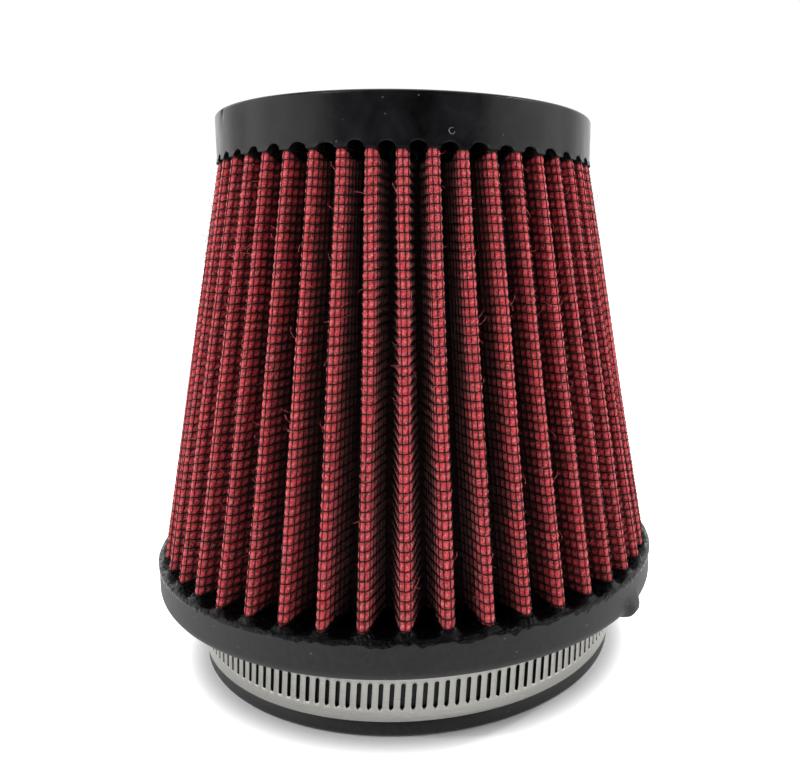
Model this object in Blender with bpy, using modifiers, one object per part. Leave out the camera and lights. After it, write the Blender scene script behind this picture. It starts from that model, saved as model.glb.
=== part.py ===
"""Clamp-on conical air filter: rubber end cap, pleated cotton pack, rubber base and hose clamp.

Metres, +Z up. The origin is the centre of the neck's open end, on the plane that the filter stands on.
The worm housing of the clamp is at the back, towards +Y, with its screw along X.
"""

import math

import bmesh
import bpy
import numpy as np
from mathutils import Matrix, Vector

# ---------------------------------------------------------------- driving dimensions, in metres

GAP = 0.0003  # clearance between pieces that touch on the real filter
TURN_STEPS = 48  # steps round a turned piece

NECK_BORE_R = 0.0570
NECK_R = 0.0598
LIP_R = 0.0603
LIP_TOP_Z = 0.0039
LIP_EDGE_R = 0.0012
NECK_FILLET_R = 0.0010

FLANGE_UNDER_Z = 0.0202
FLANGE_CORNER_R = 0.0030
FLANGE_R = 0.0722
FLANGE_TOP_R = 0.0723
FLANGE_TOP_Z = 0.0299
TROUGH_FLOOR_Z = 0.0240
TROUGH_OUTER_R = 0.0711
TROUGH_INNER_R = 0.0582
TROUGH_INNER_TOP_Z = 0.0265
BASE_POTTING_TOP_Z = 0.0275

CAP_BOTTOM_R = 0.0533
CAP_TOP_R = 0.0535
CAP_BOTTOM_Z = 0.1396
CAP_TOP_Z = 0.1514
CAP_EDGE_R = 0.0010
CAP_DISH_R = 0.0440
CAP_DISH_DEPTH = 0.0008
CAP_POTTING_OUTER_R = 0.0511
CAP_POTTING_INNER_R = 0.0415
CAP_POTTING_DEPTH = 0.0031
CAP_SKIRT_INNER_R = 0.0390
CAP_UNDER_Z = 0.1430

PLEATS = 46
PLEAT_PHASE = math.radians(-91.1)  # azimuth of the first ridge
PLEAT_DEPTH = 0.0109  # from the outside of a ridge to the outside of a valley
RIDGE_R_LOW = 0.0704  # at the flange's top edge
RIDGE_R_HIGH = 0.0531  # at the cap's lower edge
RIDGE_HALF_WIDTH = 0.0020
VALLEY_HALF_WIDTH_LOW = 0.0008
VALLEY_HALF_WIDTH_HIGH = 0.0005
SCREEN_THICKNESS = 0.00025
PLY_THICKNESS = 0.00020
PLY_GAP = 0.00012
COTTON_PLIES = 4

CLIP_WIDTH = 0.0036
CLIP_DEPTH = 0.0016
CLIP_WALL = 0.0005

BAND_WIDTH = 0.0127
BAND_THICKNESS = 0.0007
BAND_INNER_R = 0.0601
BAND_BOTTOM_Z = 0.0043
BAND_MID_Z = BAND_BOTTOM_Z + BAND_WIDTH / 2
BAND_STEP = 0.0045  # arc between the points of a band
SLOT_PITCH = 0.00254
SLOT_LENGTH = 0.0061
SLOT_WIDTH = 0.00094
SLOT_LEAN = math.radians(5.0)

TAIL_INNER_R = 0.0619
TAIL_START = -0.0280  # arc from the housing's middle, towards the screw's head
TAIL_RAMP_END = -0.0180
TAIL_END = 0.0420
LOOP_START = -0.0070  # the band's fixed end, under the housing
LOOP_GAP = 0.0100  # where the band crosses from the loop to the tail

HOUSING_LENGTH = 0.0152
HOUSING_WALL = 0.0008
HOUSING_ARCH_R = 0.00415
HOUSING_FLANGE_Y = 0.0631
HOUSING_LEG_Y = 0.0606
HOUSING_LEG_HALF = 0.0069
SADDLE_INNER_R = 0.06105
SADDLE_THICKNESS = 0.0006
SADDLE_WIDTH = 0.0132

SCREW_THREAD_R = 0.0038
SCREW_CORE_R = 0.0029
SCREW_Y = TAIL_INNER_R + BAND_THICKNESS - 0.00035 + SCREW_THREAD_R
SCREW_THREAD_HALF = 0.0062
SCREW_CREST = 0.00040
SCREW_JOURNAL_R = 0.0024
SCREW_COLLAR_R = 0.0039
SCREW_HEAD_START = 0.0090
SCREW_HEAD_AF = 0.0070
SCREW_HEAD_HEIGHT = 0.0045
DRIVER_SLOT_DEPTH = 0.0016
DRIVER_SLOT_WIDTH = 0.0011

CUTTER_DEPTH = 0.0060  # through the tail, with room to spare on both sides
CUTTER_LENGTH = 0.0120  # across the screw's head, with room to spare at both ends

# ---------------------------------------------------------------- materials: colour, roughness, metallic

FINISHES = {
    "moulded rubber": ((0.024, 0.024, 0.026), 0.55, 0.0),
    "potting resin": ((0.006, 0.006, 0.006), 0.15, 0.0),
    "coated wire screen": ((0.018, 0.012, 0.012), 0.40, 0.0),
    "red cotton gauze": ((0.520, 0.045, 0.050), 0.90, 0.0),
    "stainless steel": ((0.560, 0.550, 0.520), 0.30, 1.0),
    "zinc plated steel": ((0.500, 0.510, 0.530), 0.28, 1.0),
}

# ---------------------------------------------------------------- building blocks


def start_scene():
    for obj in list(bpy.data.objects):
        bpy.data.objects.remove(obj, do_unlink=True)
    collections = []
    for name in ("air_filter", "cutters"):
        collection = bpy.data.collections.new(name)
        bpy.context.scene.collection.children.link(collection)
        collections.append(collection)
    return collections


def finish_named(name):
    material = bpy.data.materials.get(name)
    if material:
        return material
    colour, roughness, metallic = FINISHES[name]
    material = bpy.data.materials.new(name)
    material.use_nodes = True
    shader = material.node_tree.nodes["Principled BSDF"]
    shader.inputs["Base Color"].default_value = (*colour, 1.0)
    shader.inputs["Roughness"].default_value = roughness
    shader.inputs["Metallic"].default_value = metallic
    material.diffuse_color = (*colour, 1.0)
    return material


def add_piece(name, bm, finish, collection):
    """One object in the collection, from a bmesh that is used up."""
    mesh = bpy.data.meshes.new(name)
    bm.to_mesh(mesh)
    bm.free()
    if finish:
        mesh.materials.append(finish_named(finish))
    obj = bpy.data.objects.new(name, mesh)
    collection.objects.link(obj)
    return obj


def as_cutter(obj):
    obj.hide_render = True
    obj.display_type = "WIRE"
    return obj


def boolean(obj, other, operation):
    modifier = obj.modifiers.new(f"{operation.lower()} {other.name}", "BOOLEAN")
    modifier.operation = operation
    modifier.object = other
    modifier.solver = "EXACT"


def thicken_outwards(obj, thickness):
    modifier = obj.modifiers.new("thickness", "SOLIDIFY")
    modifier.thickness = thickness
    modifier.offset = 1.0
    modifier.use_even_offset = True


def shade(obj, degrees=40):
    obj.data.shade_smooth()
    obj.data.set_sharp_from_angle(angle=math.radians(degrees))


def arc(centre, radius, start, end, steps):
    """Points of a circular arc, with angles in degrees."""
    angles = np.radians(np.linspace(start, end, steps + 1))
    return [(centre[0] + radius * math.cos(a), centre[1] + radius * math.sin(a)) for a in angles]


def turned(name, profile, finish, collection, closed):
    """A profile of (radius, height) points, down its outer side, turned round Z."""
    bm = bmesh.new()
    verts = [bm.verts.new((r, 0.0, z)) for r, z in profile]
    for first, second in zip(verts, verts[1:]):
        bm.edges.new((first, second))
    if closed:
        bm.edges.new((verts[-1], verts[0]))
    obj = add_piece(name, bm, finish, collection)
    screw = obj.modifiers.new("turn", "SCREW")
    screw.axis = "Z"
    screw.angle = math.tau
    screw.steps = TURN_STEPS
    screw.render_steps = TURN_STEPS
    screw.use_merge_vertices = True
    screw.merge_threshold = 0.00005
    return obj


def extruded(name, outline, along, finish, collection):
    """A flat outline of 3D points, pushed along a vector into a prism."""
    bm = bmesh.new()
    face = bm.faces.new([bm.verts.new(point) for point in outline])
    pushed = bmesh.ops.extrude_face_region(bm, geom=[face])["geom"]
    moved = [element for element in pushed if isinstance(element, bmesh.types.BMVert)]
    bmesh.ops.translate(bm, verts=moved, vec=along)
    bmesh.ops.recalc_face_normals(bm, faces=bm.faces)
    return add_piece(name, bm, finish, collection)


# ---------------------------------------------------------------- end cap and base


def make_top_cap(parts):
    edge = arc((CAP_TOP_R - CAP_EDGE_R, CAP_TOP_Z - CAP_EDGE_R), CAP_EDGE_R, 90, 0, 4)
    recess_top = CAP_BOTTOM_Z + CAP_POTTING_DEPTH + GAP
    profile = [
        (0.0, CAP_TOP_Z - CAP_DISH_DEPTH),
        (CAP_DISH_R - CAP_DISH_DEPTH, CAP_TOP_Z - CAP_DISH_DEPTH),
        (CAP_DISH_R, CAP_TOP_Z),
        *edge,
        (CAP_BOTTOM_R, CAP_BOTTOM_Z),
        (CAP_POTTING_OUTER_R + GAP, CAP_BOTTOM_Z),
        (CAP_POTTING_OUTER_R + GAP, recess_top),
        (CAP_POTTING_INNER_R - GAP, recess_top),
        (CAP_POTTING_INNER_R - GAP, CAP_BOTTOM_Z),
        (CAP_SKIRT_INNER_R, CAP_BOTTOM_Z),
        (CAP_SKIRT_INNER_R - 0.002, CAP_UNDER_Z),
        (0.0, CAP_UNDER_Z),
    ]
    shade(turned("top_cap", profile, "moulded rubber", parts, closed=False))


def ring_profile(inner, outer, low, high):
    return [(inner, high), (outer, high), (outer, low), (inner, low)]


def make_potting(parts):
    top = ring_profile(
        CAP_POTTING_INNER_R, CAP_POTTING_OUTER_R, CAP_BOTTOM_Z, CAP_BOTTOM_Z + CAP_POTTING_DEPTH
    )
    shade(turned("top_potting", top, "potting resin", parts, closed=True))
    base = ring_profile(
        TROUGH_INNER_R + GAP, TROUGH_OUTER_R - GAP, TROUGH_FLOOR_Z + GAP, BASE_POTTING_TOP_Z
    )
    shade(turned("base_potting", base, "potting resin", parts, closed=True))


def make_base_flange(parts):
    corner = arc(
        (FLANGE_R - FLANGE_CORNER_R, FLANGE_UNDER_Z + FLANGE_CORNER_R), FLANGE_CORNER_R, 0, -90, 5
    )
    profile = [
        (TROUGH_OUTER_R, FLANGE_TOP_Z),
        (FLANGE_TOP_R - 0.0003, FLANGE_TOP_Z),
        (FLANGE_TOP_R, FLANGE_TOP_Z - 0.0003),
        *corner,
        (NECK_R + NECK_FILLET_R, FLANGE_UNDER_Z),
        (NECK_R, FLANGE_UNDER_Z - NECK_FILLET_R),
        (NECK_R, LIP_TOP_Z),
        (LIP_R, LIP_TOP_Z - 0.0004),
        *arc((LIP_R - LIP_EDGE_R, LIP_EDGE_R), LIP_EDGE_R, 0, -90, 3),
        (NECK_BORE_R + 0.0005, 0.0),
        (NECK_BORE_R, 0.0005),
        (NECK_BORE_R, TROUGH_INNER_TOP_Z),
        (TROUGH_INNER_R, TROUGH_INNER_TOP_Z),
        (TROUGH_INNER_R, TROUGH_FLOOR_Z),
        (TROUGH_OUTER_R, TROUGH_FLOOR_Z),
    ]
    shade(turned("base_flange", profile, "moulded rubber", parts, closed=True))


# ---------------------------------------------------------------- pleated pack


def ridge_radius(z):
    """Radius of the cone that the pleats' outer ridges lie on."""
    share = (z - FLANGE_TOP_Z) / (CAP_BOTTOM_Z - FLANGE_TOP_Z)
    return RIDGE_R_LOW + share * (RIDGE_R_HIGH - RIDGE_R_LOW)


def polar(radius, angle):
    return np.array((radius * math.cos(angle), radius * math.sin(angle)))


def pleat_section(ridge_r, valley_half):
    """The pack's outside at one height: a closed zigzag with flat ridges and flat valleys."""
    points = []
    for number in range(PLEATS):
        ridge = PLEAT_PHASE + number * math.tau / PLEATS
        valley = ridge + math.pi / PLEATS
        ridge_turn = RIDGE_HALF_WIDTH / ridge_r
        valley_turn = valley_half / (ridge_r - PLEAT_DEPTH)
        points.append(polar(ridge_r, ridge - ridge_turn))
        points.append(polar(ridge_r, ridge + ridge_turn))
        points.append(polar(ridge_r - PLEAT_DEPTH, valley - valley_turn))
        points.append(polar(ridge_r - PLEAT_DEPTH, valley + valley_turn))
    return np.array(points)


def inset(points, distance):
    """A closed, counter-clockwise outline moved inwards by a distance, with mitred corners."""
    before = points - np.roll(points, 1, axis=0)
    after = np.roll(points, -1, axis=0) - points
    before = before / np.linalg.norm(before, axis=1, keepdims=True)
    after = after / np.linalg.norm(after, axis=1, keepdims=True)
    inward = [np.stack((-side[:, 1], side[:, 0]), axis=1) for side in (before, after)]
    middle = inward[0] + inward[1]
    middle = middle / np.linalg.norm(middle, axis=1, keepdims=True)
    mitre = distance / (middle * inward[0]).sum(axis=1, keepdims=True)
    return points + middle * mitre


def make_pleated_layer(name, depth, thickness, finish, parts):
    """A pleated sleeve between the potting and the cap, its outside this deep in the pack."""
    low_z = BASE_POTTING_TOP_Z + GAP
    high_z = CAP_BOTTOM_Z - GAP
    rings = []
    for z, valley_half in ((low_z, VALLEY_HALF_WIDTH_LOW), (high_z, VALLEY_HALF_WIDTH_HIGH)):
        section = pleat_section(ridge_radius(z), valley_half)
        for skin in (depth, depth + thickness):
            rings.append([(x, y, z) for x, y in inset(section, skin)])
    bm = bmesh.new()
    low_out, low_in, high_out, high_in = ([bm.verts.new(point) for point in ring] for ring in rings)
    for lower, upper in ((low_out, high_out), (low_in, high_in), (low_out, low_in), (high_out, high_in)):
        # Every layer is split along the same diagonals, so that nested layers stay clear.
        for a, b, c, d in zip(lower, lower[1:] + lower[:1], upper, upper[1:] + upper[:1]):
            bm.faces.new((a, b, d))
            bm.faces.new((a, d, c))
    bmesh.ops.recalc_face_normals(bm, faces=bm.faces)
    add_piece(name, bm, finish, parts)


def make_pleated_pack(parts):
    """The outer screen, the cotton plies and the inner screen, nested. Returns the pack's thickness."""
    depth = 0.0
    layers = [("outer_screen", SCREEN_THICKNESS, "coated wire screen")]
    layers += [
        (f"cotton_ply_{number + 1}", PLY_THICKNESS, "red cotton gauze") for number in range(COTTON_PLIES)
    ]
    layers += [("inner_screen", SCREEN_THICKNESS, "coated wire screen")]
    for name, thickness, finish in layers:
        make_pleated_layer(name, depth, thickness, finish, parts)
        depth += thickness + PLY_GAP
    return depth


def make_seam_clip(parts, pack_thickness):
    """The channel that joins the ends of the pleated strip, inside a valley at the back."""
    low_z = BASE_POTTING_TOP_Z + 2 * GAP
    high_z = CAP_BOTTOM_Z - 2 * GAP
    clear = PLEAT_DEPTH + pack_thickness + GAP
    low_r, high_r = (ridge_radius(z) - clear for z in (low_z, high_z))
    half = CLIP_WIDTH / 2
    outline = [
        (-half, 0.0),
        (half, 0.0),
        (half, -CLIP_DEPTH),
        (half - CLIP_WALL, -CLIP_DEPTH),
        (half - CLIP_WALL, -CLIP_WALL),
        (-half + CLIP_WALL, -CLIP_WALL),
        (-half + CLIP_WALL, -CLIP_DEPTH),
        (-half, -CLIP_DEPTH),
    ]
    valley = PLEAT_PHASE + math.pi + math.pi / PLEATS
    turn = Matrix.Rotation(valley - math.pi / 2, 3, "Z")
    foot = [turn @ Vector((x, low_r + y, low_z)) for x, y in outline]
    along = turn @ Vector((0.0, high_r - low_r, high_z - low_z))
    extruded("seam_clip", foot, along, "zinc plated steel", parts)


# ---------------------------------------------------------------- hose clamp


def back_angle(distance, radius):
    """Azimuth at an arc distance from the housing's middle, counted towards +X."""
    return math.pi / 2 - distance / radius


def band_strip(name, path, low_z, width, thickness, finish, parts):
    """A strip standing on a path of (x, y) points, which runs clockwise, thickened outwards."""
    bm = bmesh.new()
    verts = [bm.verts.new((x, y, low_z)) for x, y in path]
    edges = [bm.edges.new(pair) for pair in zip(verts, verts[1:])]
    pushed = bmesh.ops.extrude_edge_only(bm, edges=edges)["geom"]
    moved = [element for element in pushed if isinstance(element, bmesh.types.BMVert)]
    bmesh.ops.translate(bm, verts=moved, vec=(0.0, 0.0, width))
    strip = add_piece(name, bm, finish, parts)
    thicken_outwards(strip, thickness)
    return strip


def steps_between(start, end):
    return np.linspace(start, end, max(2, round((end - start) / BAND_STEP)) + 1)


def make_loop(parts):
    """The band round the neck, from its fixed end under the housing to the lap under the tail."""
    end = math.tau * BAND_INNER_R + LOOP_START - LOOP_GAP
    path = [
        polar(BAND_INNER_R, back_angle(distance, BAND_INNER_R))
        for distance in steps_between(LOOP_START, end)
    ]
    band_strip(
        "clamp_band", path, BAND_BOTTOM_Z, BAND_WIDTH, BAND_THICKNESS, "stainless steel", parts
    )


def tail_radius(distance):
    """The tail starts on the loop and climbs to the layer that passes under the screw."""
    low = BAND_INNER_R + BAND_THICKNESS + GAP
    share = (distance - TAIL_START) / (TAIL_RAMP_END - TAIL_START)
    return low + (TAIL_INNER_R - low) * min(1.0, share)


def slot_cutter(cutters):
    """Leaning slots through the tail, one at the housing's middle."""
    bm = bmesh.new()
    first = math.ceil((TAIL_START + 2 * SLOT_PITCH) / SLOT_PITCH)
    last = math.floor((TAIL_END - 2 * SLOT_PITCH) / SLOT_PITCH)
    pitch_r = TAIL_INNER_R + BAND_THICKNESS / 2
    # Seen from outside, +X is to the left at the back, so the lean to the right is towards -X.
    lean = Matrix.Identity(4)
    lean[0][2] = -math.tan(SLOT_LEAN)
    size = Matrix.Diagonal((SLOT_WIDTH, CUTTER_DEPTH, SLOT_LENGTH, 1.0))
    for number in range(first, last + 1):
        turn = Matrix.Rotation(-number * SLOT_PITCH / pitch_r, 4, "Z")
        place = Matrix.Translation((0.0, pitch_r, BAND_MID_Z))
        bmesh.ops.create_cube(bm, size=1.0, matrix=turn @ place @ lean @ size)
    return as_cutter(add_piece("tail_slots", bm, None, cutters))


def make_tail(parts, cutters):
    path = [
        polar(tail_radius(distance), back_angle(distance, TAIL_INNER_R))
        for distance in steps_between(TAIL_START, TAIL_END)
    ]
    tail = band_strip(
        "band_tail", path, BAND_BOTTOM_Z, BAND_WIDTH, BAND_THICKNESS, "stainless steel", parts
    )
    boolean(tail, slot_cutter(cutters), "DIFFERENCE")


def make_saddle(parts):
    """The curved plate between the band's fixed end and the tail."""
    half = HOUSING_LENGTH / 2 - 0.0004
    path = [
        polar(SADDLE_INNER_R, back_angle(distance, SADDLE_INNER_R))
        for distance in np.linspace(-half, half, 6)
    ]
    band_strip(
        "housing_saddle",
        path,
        BAND_MID_Z - SADDLE_WIDTH / 2,
        SADDLE_WIDTH,
        SADDLE_THICKNESS,
        "stainless steel",
        parts,
    )


def make_housing(parts, cutters):
    """An arch over the worm on two flanges, folded down past the band's edges, closed at its ends."""
    half = HOUSING_LENGTH / 2
    wall = HOUSING_WALL
    leg = HOUSING_LEG_HALF
    outer_r = HOUSING_ARCH_R + wall
    inner_arch = arc((0.0, SCREW_Y), HOUSING_ARCH_R, 180, 0, 10)
    outer_arch = arc((0.0, SCREW_Y), outer_r, 0, 180, 10)
    section = [
        (-leg, HOUSING_LEG_Y),
        (-leg, HOUSING_FLANGE_Y),
        (-HOUSING_ARCH_R, HOUSING_FLANGE_Y),
        *inner_arch,
        (HOUSING_ARCH_R, HOUSING_FLANGE_Y),
        (leg, HOUSING_FLANGE_Y),
        (leg, HOUSING_LEG_Y),
        (leg + wall, HOUSING_LEG_Y),
        (leg + wall, HOUSING_FLANGE_Y + wall),
        (outer_r, HOUSING_FLANGE_Y + wall),
        *outer_arch,
        (-outer_r, HOUSING_FLANGE_Y + wall),
        (-leg - wall, HOUSING_FLANGE_Y + wall),
        (-leg - wall, HOUSING_LEG_Y),
    ]
    outline = [(-half, y, BAND_MID_Z + across) for across, y in section]
    housing = extruded(
        "screw_housing", outline, (HOUSING_LENGTH, 0.0, 0.0), "stainless steel", parts
    )
    journal_r = SCREW_JOURNAL_R + GAP
    keeper = [
        *arc((0.0, SCREW_Y), HOUSING_ARCH_R + wall / 2, 0, 180, 10),
        *arc((0.0, SCREW_Y), journal_r, 180, 0, 8),
    ]
    for side, start in (("left", -half), ("right", half - wall)):
        face = [(start, y, BAND_MID_Z + across) for across, y in keeper]
        wall_piece = as_cutter(extruded(f"keeper_{side}", face, (wall, 0.0, 0.0), None, cutters))
        boolean(housing, wall_piece, "UNION")


def worm_thread():
    """A right-handed thread round X, as a closed mesh: one tooth profile carried along a helix."""
    steps = 16
    flank = (SCREW_THREAD_R - SCREW_CORE_R) * math.tan(math.radians(15))
    profile = [
        (0.0, SCREW_CORE_R),
        (flank, SCREW_THREAD_R),
        (flank + SCREW_CREST, SCREW_THREAD_R),
        (2 * flank + SCREW_CREST, SCREW_CORE_R),
    ]
    turns = 4
    # A crest faces the band under the screw's middle, where the angle from +Y is half a turn.
    start = -turns / 2 * SLOT_PITCH - (flank + SCREW_CREST / 2)
    bm = bmesh.new()
    rows = []
    for step in range(turns * steps + 1):
        angle = math.pi + step * math.tau / steps
        advance = start + step * SLOT_PITCH / steps
        rows.append(
            [
                bm.verts.new((advance + x, r * math.cos(angle), r * math.sin(angle)))
                for x, r in profile
            ]
        )
    for step in range(turns * steps):
        row, following = rows[step], rows[step + 1]
        for a, b in zip(range(3), range(1, 4)):
            bm.faces.new((row[a], row[b], following[b], following[a]))
        if step < (turns - 1) * steps:
            later, later_next = rows[step + steps], rows[step + steps + 1]
            bm.faces.new((row[3], later[0], later_next[0], following[3]))
    first_rim = [rows[step][0] for step in range(steps + 1)] + [rows[0][3], rows[0][2], rows[0][1]]
    last_rim = [rows[step][3] for step in range((turns - 1) * steps, turns * steps + 1)]
    last_rim += [rows[-1][2], rows[-1][1], rows[-1][0]]
    for rim, x in ((first_rim, start - 0.0002), (last_rim, start + turns * SLOT_PITCH + 0.0008)):
        hub = bm.verts.new((x, 0.0, 0.0))
        for a, b in zip(rim, rim[1:] + rim[:1]):
            bm.faces.new((hub, a, b))
    bmesh.ops.recalc_face_normals(bm, faces=bm.faces)
    return bm


def cylinder_along_x(name, radius, start, end, segments, collection):
    bm = bmesh.new()
    place = Matrix.Translation(((start + end) / 2, 0.0, 0.0))
    turn = Matrix.Rotation(math.pi / 2, 4, "Y")
    bmesh.ops.create_cone(
        bm,
        cap_ends=True,
        segments=segments,
        radius1=radius,
        radius2=radius,
        depth=end - start,
        matrix=place @ turn,
    )
    return add_piece(name, bm, None, collection)


def make_worm_screw(parts, cutters):
    """The slotted hexagon-headed worm, built on its own axis and then placed."""
    screw = add_piece("worm_screw", worm_thread(), "zinc plated steel", parts)
    axis_place = Vector((0.0, SCREW_Y, BAND_MID_Z))
    half = HOUSING_LENGTH / 2
    head_end = SCREW_HEAD_START + SCREW_HEAD_HEIGHT
    stations = [
        ("worm_core", SCREW_CORE_R - 0.0001, -SCREW_THREAD_HALF, SCREW_THREAD_HALF, 16),
        ("worm_shaft", SCREW_JOURNAL_R, -half - 0.0004, SCREW_HEAD_START + 0.0005, 24),
        ("worm_collar", SCREW_COLLAR_R, SCREW_HEAD_START - 0.0006, SCREW_HEAD_START + 0.0002, 24),
        ("worm_head", SCREW_HEAD_AF / math.sqrt(3), SCREW_HEAD_START, head_end, 6),
    ]
    for name, radius, start, end, segments in stations:
        piece = as_cutter(cylinder_along_x(name, radius, start, end, segments, cutters))
        piece.location = axis_place
        boolean(screw, piece, "UNION")
    bm = bmesh.new()
    slot_place = Matrix.Translation((head_end, 0.0, 0.0))
    slot_size = Matrix.Diagonal((2 * DRIVER_SLOT_DEPTH, DRIVER_SLOT_WIDTH, CUTTER_LENGTH, 1.0))
    bmesh.ops.create_cube(bm, size=1.0, matrix=slot_place @ slot_size)
    slot = as_cutter(add_piece("driver_slot", bm, None, cutters))
    slot.location = axis_place
    screw.location = axis_place
    boolean(screw, slot, "DIFFERENCE")


def main():
    parts, cutters = start_scene()
    make_top_cap(parts)
    make_base_flange(parts)
    make_potting(parts)
    pack_thickness = make_pleated_pack(parts)
    make_seam_clip(parts, pack_thickness)
    make_loop(parts)
    make_tail(parts, cutters)
    make_saddle(parts)
    make_housing(parts, cutters)
    make_worm_screw(parts, cutters)


main()
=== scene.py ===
"""Clamp-on conical air filter: looks, floor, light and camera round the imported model.

Metres, +Z up. The filter stands on the open end of its neck. The clamp's housing is at the back, +Y.
"""

import math

import bmesh
import bpy
import numpy as np
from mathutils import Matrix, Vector


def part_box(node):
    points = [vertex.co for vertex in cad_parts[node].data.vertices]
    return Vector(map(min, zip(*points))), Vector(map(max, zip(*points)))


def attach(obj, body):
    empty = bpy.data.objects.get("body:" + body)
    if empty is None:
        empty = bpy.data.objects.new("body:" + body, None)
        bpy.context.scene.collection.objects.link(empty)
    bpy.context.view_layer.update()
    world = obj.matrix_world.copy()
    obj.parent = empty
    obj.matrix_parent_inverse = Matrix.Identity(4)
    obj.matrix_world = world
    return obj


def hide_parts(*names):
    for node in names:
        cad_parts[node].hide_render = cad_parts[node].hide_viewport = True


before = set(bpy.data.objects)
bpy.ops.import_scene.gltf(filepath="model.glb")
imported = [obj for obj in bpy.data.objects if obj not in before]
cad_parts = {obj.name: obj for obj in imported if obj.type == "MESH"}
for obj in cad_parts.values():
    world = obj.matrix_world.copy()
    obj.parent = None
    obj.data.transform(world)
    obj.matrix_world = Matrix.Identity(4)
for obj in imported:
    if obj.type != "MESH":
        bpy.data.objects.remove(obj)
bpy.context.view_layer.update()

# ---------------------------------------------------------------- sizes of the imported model, in metres

CAP_LOW, CAP_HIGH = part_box("top_cap")
BAND_LOW, BAND_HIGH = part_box("clamp_band")

CAP_TOP_Z = CAP_HIGH[2]
CAP_BOTTOM_Z = CAP_LOW[2]
CAP_TOP_R = 0.0535
CAP_BOTTOM_R = 0.0533
CAP_EDGE_R = 0.0010
CAP_DISH_R = 0.0440
CAP_DISH_DEPTH = 0.0008
CAP_UNDER_Z = 0.1430
CAP_SKIRT_INNER_R = 0.0390
CAP_POTTING_INNER_R = 0.0415
CAP_POTTING_OUTER_R = 0.0526
CAP_POTTING_LOW_Z = 0.1401
CAP_POTTING_TOP_Z = 0.1426

FLANGE_TOP_Z = 0.0299
FLANGE_UNDER_Z = 0.0202
FLANGE_R = 0.0722
FLANGE_CORNER_R = 0.0030
TROUGH_OUTER_R = 0.0711
TROUGH_INNER_R = 0.0582
TROUGH_INNER_TOP_Z = 0.0265
TROUGH_FLOOR_Z = 0.0240
NECK_R = 0.0598
NECK_BORE_R = 0.0570
LIP_R = 0.0603
LIP_TOP_Z = 0.0039
POTTING_INNER_R = 0.0574
POTTING_STEP_R = 0.0585  # down in the trough, whose inner wall the resin's skin covers
POTTING_UNDER_Z = 0.0243
POTTING_LOW_Z = 0.0268
POTTING_RISE = 0.0034  # from the trough's inner wall to the level under the pleats

PLEATS = 46
PLEAT_PHASE = math.radians(-91.1)
PLEAT_HALF_TURN = math.pi / PLEATS
PLEAT_DEPTH = 0.0109
RIDGE_R_LOW = 0.0710
RIDGE_R_HIGH = 0.0531
RIDGE_ROUND = 0.00168
VALLEY_ROUND = 0.00070

CLOTH_LOW_Z = 0.0272
CLOTH_HIGH_Z = 0.1404
CELLS_ROUND = 618  # openings of the screen round the pack, 1.85 mm each along the folded strip
CELLS_PER_PLEAT = CELLS_ROUND / PLEATS
CELL_ROWS = 53  # 2.14 mm each up the pack
CELL_DRIFT = 1.0  # cells that the uprights wander round the pack, from the top to the bottom

# Depths count inwards from the pack's outside, at right angles to its folds.
HOOP_R = 0.00014
HOOP_DEPTH = 0.00014
UPRIGHT_R = 0.00011
UPRIGHT_DEPTH = 0.00028
COTTON_DEPTH = 0.00038  # where a wire presses on the outer ply
PILLOW = 0.00034  # how far the outer ply puffs out between the wires
INNER_WIRE_R = 0.00016
INNER_HOOP_DEPTH = 0.00172
INNER_UPRIGHT_DEPTH = 0.00170

# How far the folded pack strays from a perfect one.
RADIAL_SWAY = 0.00022
SIDE_SWAY = 0.00026
ROW_SWAY = 0.00036
CELL_SWAY = 0.20  # in cells

BAND_INNER_R = 0.0601
BAND_THICKNESS = 0.0007
BAND_MID_Z = (BAND_LOW[2] + BAND_HIGH[2]) / 2
BAND_HALF = (BAND_HIGH[2] - BAND_LOW[2]) / 2

# Distances round the clamp count clockwise, seen from above, from the middle of the screw housing.
LOOP_START = -0.0070
LOOP_GAP = 0.0100
LOOP_SLOTS = 142
SLOT_PITCH = 0.00254
SLOT_LENGTH = 0.0064
SLOT_WIDTH = 0.00100
SLOT_LEAN = math.radians(4.0)
TAIL_INNER_R = 0.0619  # under the screw
TAIL_START = -0.0280
TAIL_RAMP_END = -0.0180

RANDOM = np.random.default_rng(46)

# ---------------------------------------------------------------- materials


def linear(hex_colour):
    """sRGB hex to linear RGBA."""
    channels = [int(hex_colour[i : i + 2], 16) / 255 for i in (1, 3, 5)]
    bent = [c / 12.92 if c <= 0.04045 else ((c + 0.055) / 1.055) ** 2.4 for c in channels]
    return (*bent, 1.0)


def add_node(tree, kind, settings=None, links=None):
    """One node. Settings are its own properties or its sockets' values, links its sockets' sources."""
    node = tree.nodes.new(kind)
    for key, value in (settings or {}).items():
        if isinstance(key, str) and hasattr(node, key):
            setattr(node, key, value)
        else:
            node.inputs[key].default_value = value
    for key, source in (links or {}).items():
        tree.links.new(source, node.inputs[key])
    return node


def new_material(name, roughness, specular=None, metallic=0.0):
    """A node material and its shader. The specular level stays at its default where none is given."""
    material = bpy.data.materials.new(name)
    material.use_nodes = True
    tree = material.node_tree
    shader = tree.nodes["Principled BSDF"]
    shader.inputs["Roughness"].default_value = roughness
    shader.inputs["Metallic"].default_value = metallic
    if specular is not None:
        shader.inputs["Specular IOR Level"].default_value = specular
    place = add_node(tree, "ShaderNodeTexCoord").outputs["Object"]
    return material, tree, shader, place


def add_noise(tree, place, size, detail, roughness=0.5, distortion=0.0):
    """A soft random pattern whose features are about this many metres across."""
    settings = {"Scale": 1 / size, "Detail": detail, "Roughness": roughness, "Distortion": distortion}
    return add_node(tree, "ShaderNodeTexNoise", settings, {"Vector": place}).outputs["Fac"]


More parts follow.
